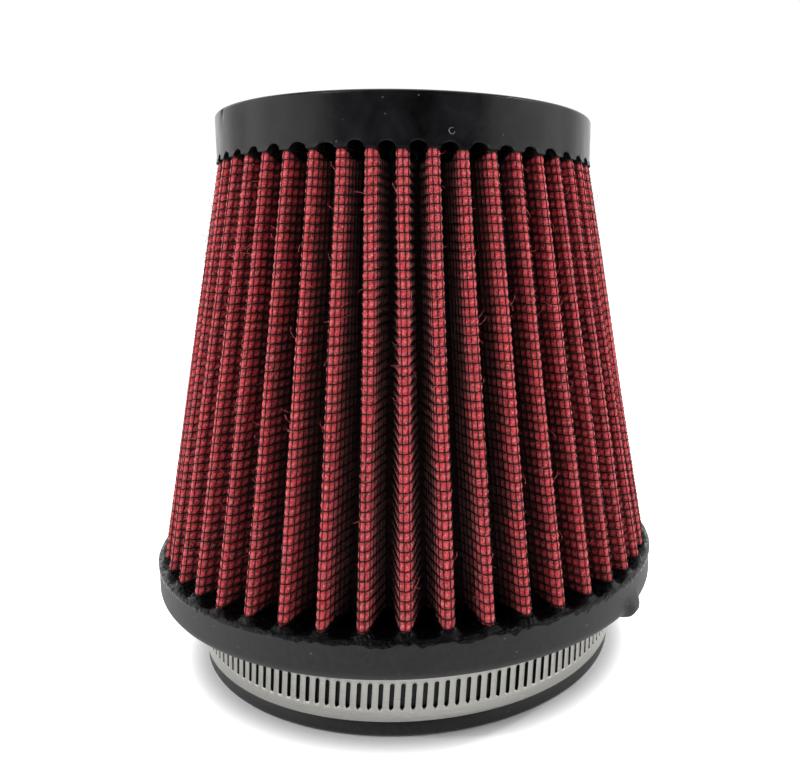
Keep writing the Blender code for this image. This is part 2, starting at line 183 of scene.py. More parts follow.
def add_sum(tree, source, weight, offset):
    """Source times weight plus offset. The offset is a number or another socket."""
    settings = {"operation": "MULTIPLY_ADD", 1: weight}
    links = {0: source}
    if isinstance(offset, float):
        settings[2] = offset
    else:
        links[2] = offset
    return add_node(tree, "ShaderNodeMath", settings, links).outputs[0]


def add_range(tree, source, from_low, from_high, to_low=0.0, to_high=1.0):
    """Maps one range of values to another, and holds what lies outside at the ends."""
    settings = {"From Min": from_low, "From Max": from_high, "To Min": to_low, "To Max": to_high}
    return add_node(tree, "ShaderNodeMapRange", settings, {"Value": source}).outputs[0]


def mix_colours(tree, share, first, second):
    """A blend of two colours, each one a hex string or a socket."""
    settings = {"data_type": "RGBA"}
    links = {0: share}
    for number, colour in ((6, first), (7, second)):
        if isinstance(colour, str):
            settings[number] = linear(colour)
        else:
            links[number] = colour
    return add_node(tree, "ShaderNodeMix", settings, links).outputs[2]


def add_bump(tree, shader, height, strength, distance):
    settings = {"Strength": strength, "Distance": distance}
    bump = add_node(tree, "ShaderNodeBump", settings, {"Height": height})
    tree.links.new(bump.outputs["Normal"], shader.inputs["Normal"])


def oiled_cotton_gauze(name, weave_map):
    """Cotton wet with red filter oil: deep red, with painted shade in its folds, pale lint that is also a
    painted highlight on its ridges and pillows, and black soaked ends.
    """
    material, tree, shader, place = new_material(name, 0.78, 0.35)
    weave = add_node(tree, "ShaderNodeUVMap", {"uv_map": weave_map}).outputs["UV"]
    along = add_node(tree, "ShaderNodeSeparateXYZ", links={0: weave})
    shades = []
    for axis in (0, 1):
        # Five threads of about 0.4 mm cross each 2 mm opening of the screen.
        turned = {"operation": "MULTIPLY", 1: math.tau * 5}
        thread = add_node(tree, "ShaderNodeMath", turned, {0: along.outputs[axis]})
        shades.append(add_node(tree, "ShaderNodeMath", {"operation": "SINE"}, {0: thread.outputs[0]}))
    crossed = {0: shades[0].outputs[0], 1: shades[1].outputs[0]}
    threads = add_node(tree, "ShaderNodeMath", {"operation": "MULTIPLY"}, crossed).outputs[0]
    # Fuzz of about 0.3 mm, and blotches of oil of about 6 mm.
    fuzz = add_noise(tree, place, 0.00034, 4.0, 0.65, 0.4)
    oil = add_noise(tree, place, 0.0060, 3.0, 0.6)
    # Each opening of the screen holds its own shade of red.
    cell = add_node(tree, "ShaderNodeVectorMath", {"operation": "FLOOR"}, {0: weave})
    shade_settings = {"noise_dimensions": "2D"}
    own_shade = add_node(tree, "ShaderNodeTexWhiteNoise", shade_settings, {"Vector": cell.outputs[0]})
    # Painted light and shade: the cloth is darker in the folds and beside the wires, and paler on the
    # ridges and the pillows between them, as the light falls. The loose hairs use this level for their
    # own paler tone.
    lift = add_node(tree, "ShaderNodeAttribute", {"attribute_name": "painted_light_and_tone"}).outputs["Fac"]
    level = add_sum(tree, fuzz, 2.6, -1.45)
    own = own_shade.outputs["Value"]
    for source, weight in ((lift, 1.0), (own, 0.32), (threads, 0.07), (oil, 0.50)):
        level = add_sum(tree, source, weight, level)
    red = mix_colours(tree, add_range(tree, level, 0.14, 1.34), "#200206", "#EA404D")
    # Tufts of paler lint stand up on the cloth. They follow the painted light, so they are also a painted
    # highlight on the lit ridges and pillows.
    tufts = add_noise(tree, place, 0.00062, 3.0, 0.7, 1.2)
    tops = add_range(tree, tufts, 0.48, 0.64, 0.0, 0.75)
    clamped = {"operation": "MULTIPLY", "use_clamp": True}
    lint_and_highlight = add_node(tree, "ShaderNodeMath", clamped, {0: tops, 1: lift}).outputs[0]
    linted_and_highlighted = mix_colours(tree, lint_and_highlight, red, "#FFA3A0")
    # Black resin has soaked in along a ragged edge at both ends of the cloth, and shines there.
    soaked = add_node(tree, "ShaderNodeAttribute", {"attribute_name": "soaked"}).outputs["Fac"]
    ragged = add_sum(tree, tufts, 0.9, soaked)
    resin = add_range(tree, ragged, 0.85, 1.05)
    colour = mix_colours(tree, resin, linted_and_highlighted, "#050404")
    tree.links.new(colour, shader.inputs["Base Color"])
    tree.links.new(add_range(tree, resin, 0.0, 1.0, 0.78, 0.22), shader.inputs["Roughness"])
    tree.links.new(add_range(tree, resin, 0.0, 1.0, 0.50, 0.0), shader.inputs["Sheen Weight"])
    add_bump(tree, shader, add_sum(tree, threads, 0.30, fuzz), 0.9, 0.00016)
    shader.inputs["Sheen Roughness"].default_value = 0.35
    shader.inputs["Sheen Tint"].default_value = linear("#FFB9B4")
    return material


def epoxy_coated_wire(name):
    """Woven wire under a thick black coat: dull brownish black, with small beads along it."""
    material, tree, shader, place = new_material(name, 0.52, 0.25)
    beads = add_noise(tree, place, 0.0008, 2.0)
    tree.links.new(mix_colours(tree, beads, "#050303", "#1E120C"), shader.inputs["Base Color"])
    add_bump(tree, shader, beads, 0.3, 0.00005)
    return material


def moulded_rubber(name, dark, light, roughness, gloss, mottle_mm, bump_mm):
    """Moulded rubber: black to dark grey, with a faint bloom in blotches, dust and a fine skin."""
    material, tree, shader, place = new_material(name, roughness, gloss)
    blotches = add_noise(tree, place, mottle_mm / 1000, 5.0, 0.62, 0.5)
    skin = add_noise(tree, place, 0.00045, 3.0, 0.6)
    bloom = add_range(tree, blotches, 0.35, 0.70)
    # A few specks of dust, about 0.3 mm across and 3 mm apart.
    specks = add_node(tree, "ShaderNodeTexVoronoi", {"Scale": 1 / 0.0032}, {"Vector": place})
    dust = add_range(tree, specks.outputs["Distance"], 0.035, 0.080, 0.55, 0.0)
    colour = mix_colours(tree, dust, mix_colours(tree, bloom, dark, light), "#7A7A7C")
    tree.links.new(colour, shader.inputs["Base Color"])
    rough = add_range(tree, blotches, 0.0, 1.0, roughness - 0.09, roughness + 0.12)
    tree.links.new(rough, shader.inputs["Roughness"])
    add_bump(tree, shader, skin, 0.35, bump_mm / 1000)
    return material


def potting_resin(name):
    """Poured black resin, set wet-looking: deep black with sharp glints and soft waves."""
    material, tree, shader, place = new_material(name, 0.10, 0.10)
    ripples = add_noise(tree, place, 0.0009, 3.0)
    tree.links.new(mix_colours(tree, ripples, "#020202", "#070708"), shader.inputs["Base Color"])
    tree.links.new(add_range(tree, ripples, 0.0, 1.0, 0.02, 0.10), shader.inputs["Roughness"])
    add_bump(tree, shader, ripples, 1.0, 0.0005)
    return material


def bright_metal(name, dark, light, roughness, grain):
    """Rolled or plated steel: grey, with fine lines and smudges. Grain is their size along X, Y and Z."""
    material, tree, shader, place = new_material(name, roughness, metallic=1.0)
    scale = tuple(1 / size for size in grain)
    stretched = add_node(tree, "ShaderNodeMapping", {"Scale": scale}, {"Vector": place})
    lines = add_noise(tree, stretched.outputs["Vector"], 1.0, 4.0, 0.6)
    smudges = add_noise(tree, place, 0.009, 3.0)
    tree.links.new(mix_colours(tree, lines, dark, light), shader.inputs["Base Color"])
    rough = add_range(tree, smudges, 0.0, 1.0, roughness - 0.08, roughness + 0.10)
    tree.links.new(rough, shader.inputs["Roughness"])
    add_bump(tree, shader, lines, 0.12, 0.00003)
    return material


# ---------------------------------------------------------------- building blocks


def set_piece(name, mesh, material, body, replaced=(), smooth_degrees=None):
    """One piece that rides on a body, takes a slot's finish and stands for CAD nodes."""
    mesh.materials.append(material)
    mesh.shade_smooth()
    if smooth_degrees:
        mesh.set_sharp_from_angle(angle=math.radians(smooth_degrees))
    piece = bpy.data.objects.new(name, mesh)
    bpy.context.scene.collection.objects.link(piece)
    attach(piece, body)
    if replaced:
        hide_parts(*replaced)
    return piece


def add_piece(name, points, faces, material, body, replaced=(), smooth_degrees=None):
    """One piece from its points and faces."""
    mesh = bpy.data.meshes.new(name)
    mesh.from_pydata([tuple(point) for point in points], [], [tuple(face) for face in faces])
    return set_piece(name, mesh, material, body, replaced, smooth_degrees)


def grid_faces(rows, columns, closed=False):
    """Quads between grid points that are counted row by row, upwards and counter-clockwise."""
    count = columns if closed else columns - 1
    row, column = np.meshgrid(np.arange(rows - 1), np.arange(count), indexing="ij")
    following = (column + 1) % columns
    low, high = row * columns, (row + 1) * columns
    quads = np.stack((low + column, low + following, high + following, high + column), axis=-1)
    return quads.reshape(-1, 4)


def turned_mesh(profile, angle):
    """A closed profile turned round Z, outside first and downwards.

    Each radius and height is a number, or an array with a value for each angle.
    """
    rings = []
    for radius, z in profile:
        x, y, z = np.broadcast_arrays(radius * np.cos(angle), radius * np.sin(angle), z)
        rings.append(np.stack((x, y, z), axis=1))
    vertices = np.concatenate(rings)
    faces = grid_faces(len(profile) + 1, len(angle), closed=True) % len(vertices)
    return vertices, faces[:, ::-1]


def pushed_out(vertices, push, lift=0.0):
    """The points moved away from the Z axis by push, and up by lift."""
    angle = np.arctan2(vertices[:, 1], vertices[:, 0])
    moved = vertices.copy()
    moved[:, 0] += push * np.cos(angle)
    moved[:, 1] += push * np.sin(angle)
    moved[:, 2] += lift
    return moved


def arc(centre, radius, start, end, steps):
    """Points of a circular arc, with angles in degrees."""
    angles = np.radians(np.linspace(start, end, steps + 1))
    return [(centre[0] + radius * math.cos(a), centre[1] + radius * math.sin(a)) for a in angles]


def waves(count, smallest, largest, seed):
    """A smooth random field over an angle and a height share, between about -1 and 1."""
    rng = np.random.default_rng(seed)
    around = rng.integers(smallest, largest + 1, count)
    phase = rng.uniform(0, math.tau, count)
    climb = rng.uniform(-9.0, 9.0, count)
    size = rng.uniform(0.6, 1.0, count)
    size = size / size.sum() * 1.6

    def field(angle, up):
        angle, up = np.broadcast_arrays(angle, up)
        total = np.zeros(angle.shape)
        for n, p, q, s in zip(around, phase, climb, size):
            total = total + s * np.sin(n * angle + p + q * up)
        return total

    return field


# ---------------------------------------------------------------- pleated pack

SIDEWAYS = waves(7, 7, 44, 1)
RADIAL = waves(7, 9, 46, 2)
ROW_WANDER = waves(9, 11, 120, 3)
CELL_WANDER = waves(7, 9, 60, 4)
SOAKED = waves(9, 20, 110, 5)


def ridge_radius(z):
    share = (z - FLANGE_TOP_Z) / (CAP_BOTTOM_Z - FLANGE_TOP_Z)
    return RIDGE_R_LOW + share * (RIDGE_R_HIGH - RIDGE_R_LOW)


def half_pleat(z):
    """A ridge's arc, a straight flank and a valley's arc: centres, turn, flank and whole length."""
    ridge_x = ridge_radius(z) - RIDGE_ROUND
    valley_x = ridge_radius(z) - PLEAT_DEPTH + VALLEY_ROUND
    across = valley_x * math.cos(PLEAT_HALF_TURN) - ridge_x
    aside = valley_x * math.sin(PLEAT_HALF_TURN)
    apart = np.hypot(across, aside)
    both = RIDGE_ROUND + VALLEY_ROUND
    turn = np.arctan2(aside, across) - np.arccos(both / apart)
    flank = np.sqrt(apart**2 - both**2)
    length = RIDGE_ROUND * turn + flank + VALLEY_ROUND * (turn - PLEAT_HALF_TURN)
    return ridge_x, valley_x, turn, flank, length


def pleat_place(share, z):
    """Place and outward normal in a pleat's own frame. Share is 0 on the ridge and 1 in the valley."""
    ridge_x, valley_x, turn, flank, length = half_pleat(z)
    run = share * length
    ridge_arc = RIDGE_ROUND * turn
    on_ridge = run < ridge_arc
    in_valley = run > ridge_arc + flank
    bend = np.where(on_ridge, run / RIDGE_ROUND, turn)
    ahead = np.where(on_ridge | in_valley, 0.0, run - ridge_arc)
    x = ridge_x + RIDGE_ROUND * np.cos(bend) - ahead * np.sin(bend)
    y = RIDGE_ROUND * np.sin(bend) + ahead * np.cos(bend)
    round_valley = turn + math.pi - (run - ridge_arc - flank) / VALLEY_ROUND
    centre_x = valley_x * math.cos(PLEAT_HALF_TURN)
    centre_y = valley_x * math.sin(PLEAT_HALF_TURN)
    x = np.where(in_valley, centre_x + VALLEY_ROUND * np.cos(round_valley), x)
    y = np.where(in_valley, centre_y + VALLEY_ROUND * np.sin(round_valley), y)
    normal_x = np.where(in_valley, -np.cos(round_valley), np.cos(bend))
    normal_y = np.where(in_valley, -np.sin(round_valley), np.sin(bend))
    return x, y, normal_x, normal_y


def cloth_place(turns, z, depth):
    """Points and normals this deep in the pack. Turns counts pleats from the first ridge."""
    turns, z, depth = np.broadcast_arrays(turns, z, depth)
    ridge = np.round(turns)
    side = np.where(turns >= ridge, 1.0, -1.0)
    x, y, normal_x, normal_y = pleat_place(np.abs(turns - ridge) * 2, z)
    y, normal_y = y * side, normal_y * side
    x, y = x - depth * normal_x, y - depth * normal_y
    up = (z - CLOTH_LOW_Z) / (CLOTH_HIGH_Z - CLOTH_LOW_Z)
    held = 0.4 + 0.6 * np.sin(math.pi * np.clip(up, 0, 1))
    centre = PLEAT_PHASE + ridge * 2 * PLEAT_HALF_TURN
    around = centre + np.arctan2(y, x)
    # Pleats are folded and set by hand, so they lean and stand a little unevenly.
    x = x + RADIAL_SWAY * held * RADIAL(around, up)
    y = y + SIDE_SWAY * held * SIDEWAYS(around, up)
    cosine, sine = np.cos(centre), np.sin(centre)
    points = np.stack((x * cosine - y * sine, x * sine + y * cosine, z), axis=-1)
    flat = np.zeros_like(z)
    normals = np.stack(
        (normal_x * cosine - normal_y * sine, normal_x * sine + normal_y * cosine, flat), axis=-1
    )
    return points, normals


def weave_place(cell, row, depth):
    """Points and normals by the screen's own cells, so that cloth and wires share their waves."""
    cell, row = np.broadcast_arrays(np.asarray(cell, float), np.asarray(row, float))
    up = row / CELL_ROWS
    around = cell / CELLS_ROUND * math.tau
    z = CLOTH_LOW_Z + up * (CLOTH_HIGH_Z - CLOTH_LOW_Z)
    z = z + ROW_SWAY * ROW_WANDER(around, up) * np.sin(math.pi * up) ** 0.3
    turns = (cell + CELL_DRIFT * (1 - up) + CELL_SWAY * CELL_WANDER(around, up)) / CELLS_PER_PLEAT
    return cloth_place(turns, z, depth)


def ridge_painted_light(turns):
    """1 on a ridge, falling to -0.4 down in the folds: painted light and shade, pale on the lit ridges
    and dark in the shaded folds.
    """
    away = np.abs(turns - np.round(turns)) * 2
    return np.clip(1.12 - away / 0.60, -0.4, 1.0)


def soaked_share(turns, rows):
    """1 where the cloth has drawn up black resin, which reaches further in the folds than on a ridge."""
    away = np.abs(turns - np.round(turns)) * 2
    uneven = SOAKED(turns / PLEATS * math.tau, 0.5)
    foot = 1.65 + 0.8 * np.clip(away / 0.5, 0, 1) + 0.5 * uneven
    head = 0.9 + 1.1 * np.clip(away / 0.5, 0, 1) + 0.3 * uneven
    low = np.clip((foot - rows) / 0.9 + 0.5, 0, 1)
    high = np.clip((rows - (CELL_ROWS - head)) / 0.9 + 0.5, 0, 1)
    return np.maximum(low, high)


def add_weave_map(piece, cells, rows, painted_light_and_tone, soaked):
    """The cloth's coordinates in cells, its level of painted light and tone, and how much resin it holds.
    """
    mesh = piece.data
    corners = np.empty(len(mesh.loops), dtype=np.int64)
    mesh.loops.foreach_get("vertex_index", corners)
    layer = mesh.uv_layers.new(name="weave")
    layer.data.foreach_set("uv", np.stack((cells[corners], rows[corners]), axis=1).ravel())
    for name, values in (("painted_light_and_tone", painted_light_and_tone), ("soaked", soaked)):
        share = mesh.attributes.new(name, "FLOAT", "POINT")
        share.data.foreach_set("value", values)


def make_outer_ply(material):
    """The ply behind the screen, pressed in by each wire and puffed out between them, in two halves."""
    # Three columns and two rows of quads to each cell of the screen.
    columns, rows = 3 * CELLS_ROUND // 2, 2 * CELL_ROWS
    puff = RANDOM.uniform(0.75, 1.15, (CELL_ROWS + 1, CELLS_ROUND + 1))
    for half, side in enumerate(("right", "left")):
        cell = (np.arange(columns + 1) + half * columns) / 3
        row = np.arange(rows + 1) / 2
        cells, heights = np.meshgrid(cell, row)
        bulge = np.sin(math.pi * (cells % 1)) ** 0.6 * np.sin(math.pi * (heights % 1)) ** 0.6
        bulge = np.nan_to_num(bulge)
        own = puff[np.floor(heights).astype(int), np.floor(cells).astype(int)]
        points, _ = weave_place(cells, heights, COTTON_DEPTH - PILLOW * bulge * own)
        faces = grid_faces(rows + 1, columns + 1)
        name = f"cotton_ply_1_{side}"
        vertices = points.reshape(-1, 3)
        piece = add_piece(name, vertices, faces, material, "filter", ["cotton_ply_1"])
        up = heights / CELL_ROWS
        turns = (cells + CELL_DRIFT * (1 - up)) / CELLS_PER_PLEAT
        # Painted shade: the cloth is darker beside each wire, where the pillows dip, and in the folds.
        painted_light_and_tone = ridge_painted_light(turns) - 0.62 * (1 - bulge)
        soaked = soaked_share(turns, heights)
        add_weave_map(piece, cells.ravel(), heights.ravel(), painted_light_and_tone.ravel(), soaked.ravel())


# Points round one pleat, from its ridge at 0 to its valley at 0.5, close together on the ridge's curve.
PLEAT_STEPS = np.array(
    [-0.5, -0.46, -0.40, -0.25, -0.13, -0.095, -0.06, -0.03]
    + [0.0, 0.03, 0.06, 0.095, 0.13, 0.25, 0.40, 0.46]
)
COARSE_STEPS = np.array([-0.5, -0.43, -0.25, -0.10, -0.04, 0.04, 0.10, 0.25, 0.43])


def pleat_turns(steps):
    return (np.arange(PLEATS)[:, None] + steps[None, :]).ravel()


def make_inner_ply(number, depth, row_steps, material):
    """A ply inside the pack. The innermost one shows through the neck."""
    turns = pleat_turns(PLEAT_STEPS)
    row = np.linspace(0, CELL_ROWS, row_steps + 1)
    turn_grid, row_grid = np.meshgrid(turns, row)
    up = row_grid / CELL_ROWS
    cells = turn_grid * CELLS_PER_PLEAT
    z = CLOTH_LOW_Z + up * (CLOTH_HIGH_Z - CLOTH_LOW_Z)
    points, _ = cloth_place(turn_grid, z, depth)
    faces = grid_faces(len(row), len(turns), closed=True)
    name = f"cotton_ply_{number}_cloth"
    replaced = [f"cotton_ply_{number}"]
    piece = add_piece(name, points.reshape(-1, 3), faces, material, "filter", replaced)
    flat_light_and_tone = np.full(cells.size, 0.45)
    add_weave_map(piece, cells.ravel(), row_grid.ravel(), flat_light_and_tone, np.zeros(cells.size))


def wire_tubes(points, outward, aside, radius, closed):
    """Three-sided tubes along paths, one path for each row of points."""
    paths, steps = points.shape[:2]
    corners = []
    for degrees in (90, 210, 330):
        angle = math.radians(degrees)
        corners.append(points + radius * (math.sin(angle) * outward + math.cos(angle) * aside))
    ring = np.stack(corners, axis=2)  # path, step, corner
    count = steps if closed else steps - 1
    path, step = np.meshgrid(np.arange(paths), np.arange(count), indexing="ij")
    here = 3 * (path * steps + step)
    there = 3 * (path * steps + (step + 1) % steps)
    faces = []
    for corner in range(3):
        beside = (corner + 1) % 3
        quads = np.stack((here + corner, there + corner, there + beside, here + beside), axis=-1)
        faces.append(quads.reshape(-1, 4))
    return ring.reshape(-1, 3), np.concatenate(faces)


def make_hoops(name, rows, depth, radius, steps, material, node):
    """Wires round the pack, following every fold."""
    turns = pleat_turns(steps)
    turn_grid, row_grid = np.meshgrid(turns, rows)
    cells = turn_grid * CELLS_PER_PLEAT - CELL_DRIFT * (1 - row_grid / CELL_ROWS)
    points, outward = weave_place(cells, row_grid, depth)
    upwards = np.zeros_like(points)
    upwards[..., 2] = 1.0
    vertices, faces = wire_tubes(points, outward, -upwards, radius, closed=True)
    add_piece(name, vertices, faces, material, "filter", [node])


def make_uprights(name, cells, depth, radius, row_steps, material, node):
    """Wires from the base to the cap."""
    row = np.linspace(0, CELL_ROWS, row_steps + 1)
    cell_grid, row_grid = np.meshgrid(cells, row, indexing="ij")
    points, outward = weave_place(cell_grid, row_grid, depth)
    aside = np.stack((-outward[..., 1], outward[..., 0], outward[..., 2]), axis=-1)
    vertices, faces = wire_tubes(points, outward, aside, radius, closed=False)
    add_piece(name, vertices, faces, material, "filter", [node])


def make_screens(material):
    """The fine screen over the gauze, and a coarser one inside it with every other wire."""
    half = CELL_ROWS // 2
    for part, rows in (("lower", np.arange(1, half)), ("upper", np.arange(half, CELL_ROWS))):
        name = f"outer_screen_hoops_{part}"
        make_hoops(name, rows, HOOP_DEPTH, HOOP_R, PLEAT_STEPS, material, "outer_screen")
    cells = np.arange(CELLS_ROUND)
    name = "outer_screen_uprights"
    make_uprights(name, cells, UPRIGHT_DEPTH, UPRIGHT_R, 36, material, "outer_screen")
    rows = np.arange(2, CELL_ROWS, 2)
    name = "inner_screen_hoops"
    make_hoops(name, rows, INNER_HOOP_DEPTH, INNER_WIRE_R, COARSE_STEPS, material, "inner_screen")
    name = "inner_screen_uprights"
    make_uprights(name, cells[::2], INNER_UPRIGHT_DEPTH, INNER_WIRE_R, 16, material, "inner_screen")


def make_stray_fibres(material):
    """Loose cotton hairs that stand out from the ridges, 0.7 to 3 mm long."""
    count, steps = 1100, 7
    hair_r = 0.000032
    rng = np.random.default_rng(9)
    ridge = rng.integers(0, PLEATS, count)
    turns = ridge + rng.uniform(-0.09, 0.09, count)
    z = rng.uniform(0.034, 0.137, count)
    root, outward = cloth_place(turns, z, 0.0002)
    length = rng.uniform(0.0007, 0.0030, count)
    tangent = np.stack((-outward[:, 1], outward[:, 0], np.zeros(count)), axis=1)
    lean = rng.uniform(0, math.tau, count)
    upwards = np.array((0.0, 0.0, 1.0))
    along = np.cos(lean)[:, None] * tangent + np.sin(lean)[:, None] * upwards
    across = np.cross(outward, along)
    curl = rng.uniform(-1.0, 1.0, count)
    paths = np.empty((count, steps, 3))
    for number, share in enumerate(np.linspace(0, 1, steps)):
        rise = 0.45 * length * math.sin(math.pi * 0.6 * share)
        slide = length * share
        bend = curl * length * share**2 * 0.45
        paths[:, number] = (
            root + along * slide[:, None] + outward * rise[:, None] + across * bend[:, None]
        )
    outs = np.repeat(outward[:, None, :], steps, axis=1)
    asides = np.repeat(across[:, None, :], steps, axis=1)
    vertices, faces = wire_tubes(paths, outs, asides, hair_r, closed=False)
    piece = add_piece("cotton_fuzz", vertices, faces, material, "filter")
    # Set above the cloth's whole range of that level, so that the hairs take a paler tone than the cloth.
    painted_light_and_tone = piece.data.attributes.new("painted_light_and_tone", "FLOAT", "POINT")
    painted_light_and_tone.data.foreach_set("value", np.full(len(vertices), 1.8))


# ---------------------------------------------------------------- potting


def gap_to_cloth(local_angle, radius, z):
    """Distance in plan from points at one radius in a pleat's sector to the outside of the cloth."""
    share = np.linspace(0, 1, 120)
    x, y, _, _ = pleat_place(share, np.full(share.shape, z))
    here_x = radius * np.cos(local_angle)
    here_y = radius * np.abs(np.sin(local_angle))
    return np.hypot(here_x[..., None] - x, here_y[..., None] - y).min(axis=-1)


def sector_angles(steps):
    """Angles round the whole pack, so many to a pleat, and each one's angle from its own ridge."""
    local = (np.arange(steps) / steps - 0.5) * 2 * PLEAT_HALF_TURN
    centres = PLEAT_PHASE + np.arange(PLEATS) * 2 * PLEAT_HALF_TURN
    return (centres[:, None] + local[None, :]).ravel(), np.tile(local, PLEATS)


def make_base_potting(material):
    """Resin poured round the pack's foot. It climbs the cloth and runs over the rubber's edge."""
    angle, local = sector_angles(24)
    inner_radii = np.linspace(POTTING_INNER_R, 0.0600, 5)
    radii = np.concatenate((inner_radii, np.linspace(0.0604, TROUGH_OUTER_R, 24)))
    field = waves(9, 20, 200, 11)
    slow = waves(6, 5, 40, 12)
    profile = []
    for radius in radii:
        share = np.clip((radius - POTTING_INNER_R) / 0.0031, 0, 1)
        level = POTTING_LOW_Z + POTTING_RISE * share * share * (3 - 2 * share)
        gap = gap_to_cloth(local, radius, FLANGE_TOP_Z)
        climb = 0.00150 * np.exp(-gap / 0.00060) * (1 + 0.35 * slow(angle, 0.3))
        z = level + climb * share + 0.00016 * field(angle, radius * 300)
        profile.append((radius, z))
    # The edge hangs down a little between the pleats, in short uneven drips.
    valley = 0.5 - 0.5 * np.cos(local / PLEAT_HALF_TURN * math.pi)
    drip = 0.00045 + 0.00045 * valley + 0.00060 * field(angle, 0.8) + 0.00025 * slow(angle, 0.1)
    drip = np.clip(drip, 0.00012, 0.0018)
    over = FLANGE_TOP_Z + 0.00026 + 0.00016 * field(angle, 0.2)
    profile += [
        (0.0716, over + 0.00006),
        (0.0720, over - 0.00008),
        (0.07230, over - 0.00026),
        (0.07244, FLANGE_TOP_Z - 0.5 * drip),
        (0.07241, FLANGE_TOP_Z - drip),
        (0.07215, FLANGE_TOP_Z - drip - 0.00005),
        (0.0709, FLANGE_TOP_Z - 0.0008),
        (0.0708, POTTING_UNDER_Z),
        (POTTING_STEP_R, POTTING_UNDER_Z),
        (POTTING_STEP_R, 0.0266),
        (POTTING_INNER_R, 0.0266),
    ]
    vertices, faces = turned_mesh(profile, angle)
    name = "base_potting_resin"
    add_piece(name, vertices, faces, material, "filter", ["base_potting"], 60)


def make_cap_potting(material):
    """Resin inside the cap, seen from below between the pleats."""
    angle, local = sector_angles(16)
    field = waves(9, 20, 160, 13)
    profile = []
    for radius in np.linspace(CAP_POTTING_INNER_R, CAP_POTTING_OUTER_R, 22):
        gap = gap_to_cloth(local, radius, CAP_BOTTOM_Z)
        hang = 0.0007 * np.exp(-gap / 0.0005)
        profile.append((radius, CAP_POTTING_LOW_Z - hang + 0.00006 * field(angle, radius * 300)))
    profile.append((CAP_POTTING_OUTER_R, CAP_POTTING_TOP_Z))
    profile.append((CAP_POTTING_INNER_R, CAP_POTTING_TOP_Z))
    vertices, faces = turned_mesh(profile, angle)
    # This profile starts on the underside, so its faces are turned round.
    faces = faces[:, ::-1]
    name = "top_potting_resin"
    add_piece(name, vertices, faces, material, "filter", ["top_potting"], 60)


# ---------------------------------------------------------------- rubber


def scallops(local, angle):
    """The cap's lower edge: low over each ridge, arched over each valley."""
    from_valley = (PLEAT_HALF_TURN - np.abs(local)) * CAP_BOTTOM_R
    rng = np.random.default_rng(21)
    turns = (angle - PLEAT_PHASE - PLEAT_HALF_TURN) / (2 * PLEAT_HALF_TURN)
    number = np.round(turns).astype(int) % PLEATS
    half_width = rng.uniform(0.00185, 0.00230, PLEATS)[number]
    height = rng.uniform(0.00125, 0.00165, PLEATS)[number]
    inside = np.clip(1 - (from_valley / half_width) ** 2, 0, 1)
    uneven = waves(8, 30, 180, 22)
    return -0.00115 + height * inside**0.5 + 0.00008 * uneven(angle, 0.5)


def make_cap(material):
    """The moulded end cap: a rounded rim, a shallow dish and an edge that dips over the ridges."""
    angle, local = sector_angles(24)
    edge = CAP_BOTTOM_Z + scallops(local, angle)
    dish_z = CAP_TOP_Z - CAP_DISH_DEPTH
    dish_radii = (0.0002, 0.010, 0.020, 0.030, 0.040, CAP_DISH_R - 0.0016, CAP_DISH_R - 0.0009)
    profile = [(radius, dish_z) for radius in dish_radii]
    profile += arc((CAP_DISH_R + 0.0003, CAP_TOP_Z - 0.0006), 0.0006, 150, 90, 4)
    profile += [(radius, CAP_TOP_Z) for radius in (0.0470, 0.0500, 0.0518)]
    wall_top = CAP_TOP_Z - CAP_EDGE_R
    profile += arc((CAP_TOP_R - CAP_EDGE_R, wall_top), CAP_EDGE_R, 90, 0, 7)
    for share in (0.15, 0.3, 0.45, 0.6, 0.72, 0.82, 0.9, 0.96):
        z = wall_top + (edge + 0.00016 - wall_top) * share
        profile.append((CAP_TOP_R + (CAP_BOTTOM_R - CAP_TOP_R) * share, z))
    over_ridge = 0.00020 * np.clip((CAP_BOTTOM_Z - edge) / 0.0011, 0, 1)
    skirt_outer_r = CAP_POTTING_INNER_R - 0.0003
    inside_z = 0.1428
    profile += [
        (CAP_BOTTOM_R + over_ridge, edge + 0.00016),
        (CAP_BOTTOM_R + over_ridge - 0.00006, edge + 0.00004),
        (CAP_BOTTOM_R + over_ridge - 0.00018, edge),
        (CAP_BOTTOM_R - 0.00050, edge + 0.00006),
        (0.0520, edge + 0.00040),
        (0.0516, inside_z),
        (skirt_outer_r, inside_z),
        (skirt_outer_r, CAP_BOTTOM_Z + 0.0003),
        (CAP_POTTING_INNER_R - 0.0007, CAP_BOTTOM_Z),
        (CAP_SKIRT_INNER_R, CAP_BOTTOM_Z),
        (CAP_SKIRT_INNER_R - 0.002, CAP_UNDER_Z),
        (0.0002, CAP_UNDER_Z),
    ]
    vertices, faces = turned_mesh(profile, angle)
    vertices = nick_rim(vertices)
    add_piece("top_cap_rubber", vertices, faces, material, "filter", ["top_cap"], 50)


def nick_rim(vertices):
    """A nick on the left of the cap's rim, about 1.5 mm across and up to 0.4 mm deep."""
    angle = np.arctan2(vertices[:, 1], vertices[:, 0])
    radius = np.hypot(vertices[:, 0], vertices[:, 1])
    away = (angle - math.radians(-151.7)) * CAP_TOP_R
    spot = np.exp(-(away**2 + (vertices[:, 2] - 0.1504) ** 2) / 0.0009**2)
    on_wall = radius > CAP_BOTTOM_R - 0.0003
    return pushed_out(vertices, np.where(on_wall, -0.0004 * spot, 0.0))


